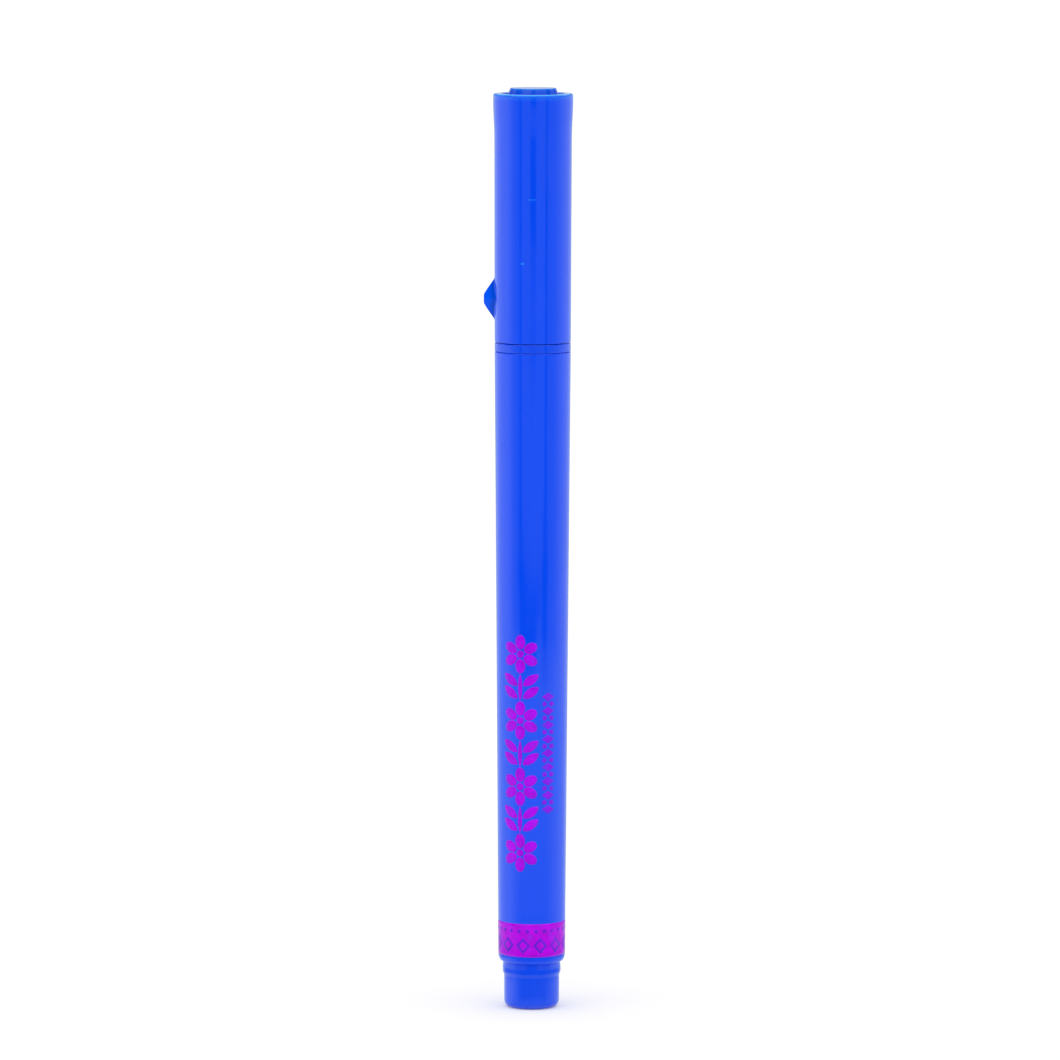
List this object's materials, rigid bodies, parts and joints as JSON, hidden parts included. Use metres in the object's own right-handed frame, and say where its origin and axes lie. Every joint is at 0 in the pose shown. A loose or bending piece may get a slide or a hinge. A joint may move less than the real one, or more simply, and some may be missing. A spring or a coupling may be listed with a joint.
{
  "type": "nail art pen",
  "caption": "Felt-tip nail art pen with a flared pull-off cap, vented crown, anti-roll lug, tapered barrel and stepped tail plug.",
  "frame": {"origin": "centre of the flat end of the tail plug, on the pen's axis", "axes": "+Z along the pen from the tail to the cap's crown; -X through the anti-roll lug; -Y faces the viewer of the picture"},
  "size_m": [0.0132, 0.0118, 0.138],
  "materials": {
    "glossy_blue_cap": "glossy moulded plastic",
    "inner_cap_blue": "glossy moulded plastic",
    "glossy_blue_nose": "glossy moulded plastic",
    "glossy_blue_barrel": "glossy moulded plastic with a printed magenta band",
    "glossy_blue_tail": "glossy moulded plastic",
    "felt_nib": "ink-soaked pressed felt",
    "inked_fibre": "ink-soaked fibre",
    "reservoir_film": "thin clear film"
  },
  "bodies": {
    "pen": {"barrel": "glossy_blue_barrel", "tail_plug": "glossy_blue_tail", "nose_section": "glossy_blue_nose", "nib": "felt_nib", "reservoir_core": "inked_fibre", "reservoir_film": "reservoir_film"},
    "cap": {"cap_shell": "glossy_blue_cap", "inner_cap": "inner_cap_blue"}
  },
  "joints": [
    {"name": "cap_pull", "type": "slide", "parent": "pen", "child": "cap", "axis": [0, 0, 1], "range_m": [0, 0.04]}
  ]
}
